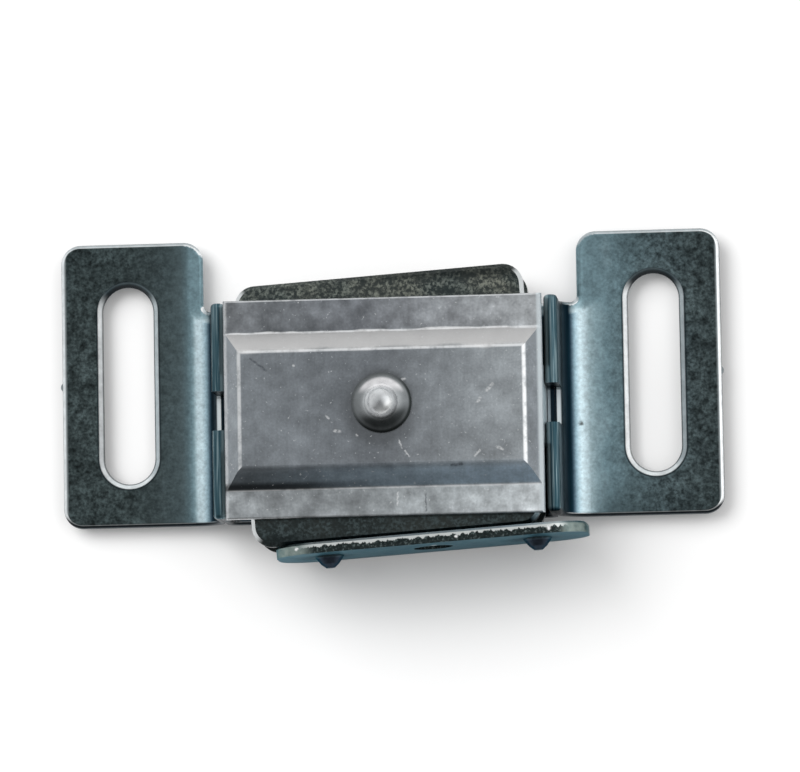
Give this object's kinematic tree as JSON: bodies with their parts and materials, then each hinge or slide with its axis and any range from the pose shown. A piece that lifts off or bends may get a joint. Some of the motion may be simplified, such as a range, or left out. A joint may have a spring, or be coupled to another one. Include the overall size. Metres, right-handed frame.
{
  "type": "magnetic catch",
  "caption": "Magnetic cabinet catch with a floating magnet unit under a pressed cover, a slotted steel mounting bracket and a strike plate clinging to the poles.",
  "frame": {"origin": "on the mounting face, under the axis of the centre rivet", "axes": "+X along the bracket, -Y to the door and its strike plate, +Z out of the mounting face"},
  "size_m": [0.0784, 0.0396, 0.0167],
  "materials": {
    "bracket_zinc": "zinc plated, dark blue-grey, mottled",
    "cover_aluminium": "mill aluminium, matte with small scratches",
    "rivet_aluminium": "turned aluminium, satin",
    "pole_steel": "dark oxide, mottled",
    "ferrite": "matte ferrite",
    "strike_zinc": "zinc plated, blue-grey"
  },
  "bodies": {
    "catch_body": {"mounting_bracket": "bracket_zinc", "magnet_cover": "cover_aluminium", "centre_rivet": "rivet_aluminium"},
    "magnet_unit": {"lower_pole_plate": "pole_steel", "ferrite_magnet": "ferrite", "upper_pole_plate": "pole_steel", "strike_plate": "strike_zinc"}
  },
  "joints": [
    {"name": "magnet_swivel", "type": "hinge", "parent": "catch_body", "child": "magnet_unit", "pos_m": [0, 0, 0.006], "axis": [0, 0, 1], "range_deg": [-9.6, 1.4]}
  ]
}
